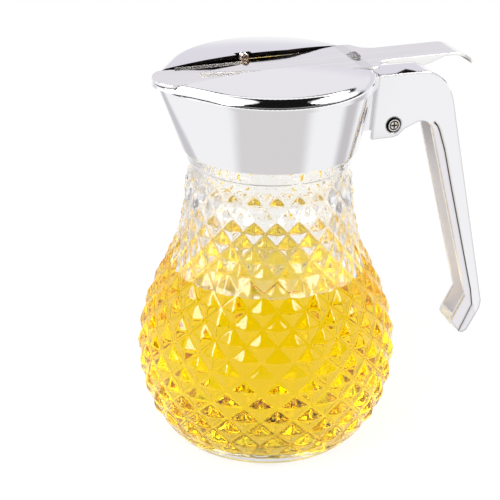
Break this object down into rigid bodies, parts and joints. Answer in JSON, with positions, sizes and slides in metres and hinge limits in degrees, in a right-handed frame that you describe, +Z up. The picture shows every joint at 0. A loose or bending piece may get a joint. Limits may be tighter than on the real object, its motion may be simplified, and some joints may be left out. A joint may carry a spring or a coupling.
{
  "type": "honey dispenser",
  "caption": "Glass honey dispenser with a diamond-cut jar, a chromed pouring head whose thumb lever lifts a blade off the spout, and a channel handle.",
  "frame": {"origin": "centre of the jar's flat base, on the jar's axis", "axes": "+Z up along the jar's axis, +X towards the handle, -X towards the pouring nose, +Y across"},
  "size_m": [0.1232, 0.0876, 0.1321],
  "materials": {
    "jar_glass": "clear pressed glass",
    "seal_rubber": "pale silicone",
    "collar_aluminium": "plain turned",
    "head_chrome": "polished chrome plate",
    "lever_steel": "polished pressed sheet",
    "pin_steel": "plain steel",
    "washer_brass": "worn copper alloy",
    "spring_steel": "drawn spring wire",
    "handle_chrome": "polished chrome plate",
    "screw_steel": "plated steel"
  },
  "bodies": {
    "jar": {"glass_jar": "jar_glass"},
    "seal": {"jar_gasket": "seal_rubber"},
    "head": {"head_shell": "head_chrome", "neck_collar": "collar_aluminium", "top_cover": "head_chrome", "pivot_pin": "pin_steel", "pin_clips": "pin_steel", "spring_post": "pin_steel", "post_washer": "washer_brass", "handle": "handle_chrome", "handle_screw": "screw_steel", "handle_washer": "pin_steel", "handle_nut": "screw_steel"},
    "lever": {"pour_blade": "lever_steel", "thumb_lever": "lever_steel", "lever_rivets": "pin_steel", "return_spring": "spring_steel"}
  },
  "joints": [
    {"name": "head_rise", "type": "slide", "parent": "jar", "child": "seal", "axis": [0, 0, 1], "range_m": [0, 0.012]},
    {"name": "head_turn", "type": "hinge", "parent": "seal", "child": "head", "pos_m": [0, 0, 0.115], "axis": [0, 0, 1], "range_deg": [0, 450]},
    {"name": "lever_press", "type": "hinge", "parent": "head", "child": "lever", "pos_m": [-0.0061, 0, 0.1272], "axis": [0, 1, 0], "range_deg": [0, 4.5], "stiffness_Nm_per_rad": 0.5, "springref_deg": -11.46}
  ],
  "couplings": [
    {"joint": "head_rise", "follows": "head_turn", "m_per_rad": 0.0005571}
  ]
}
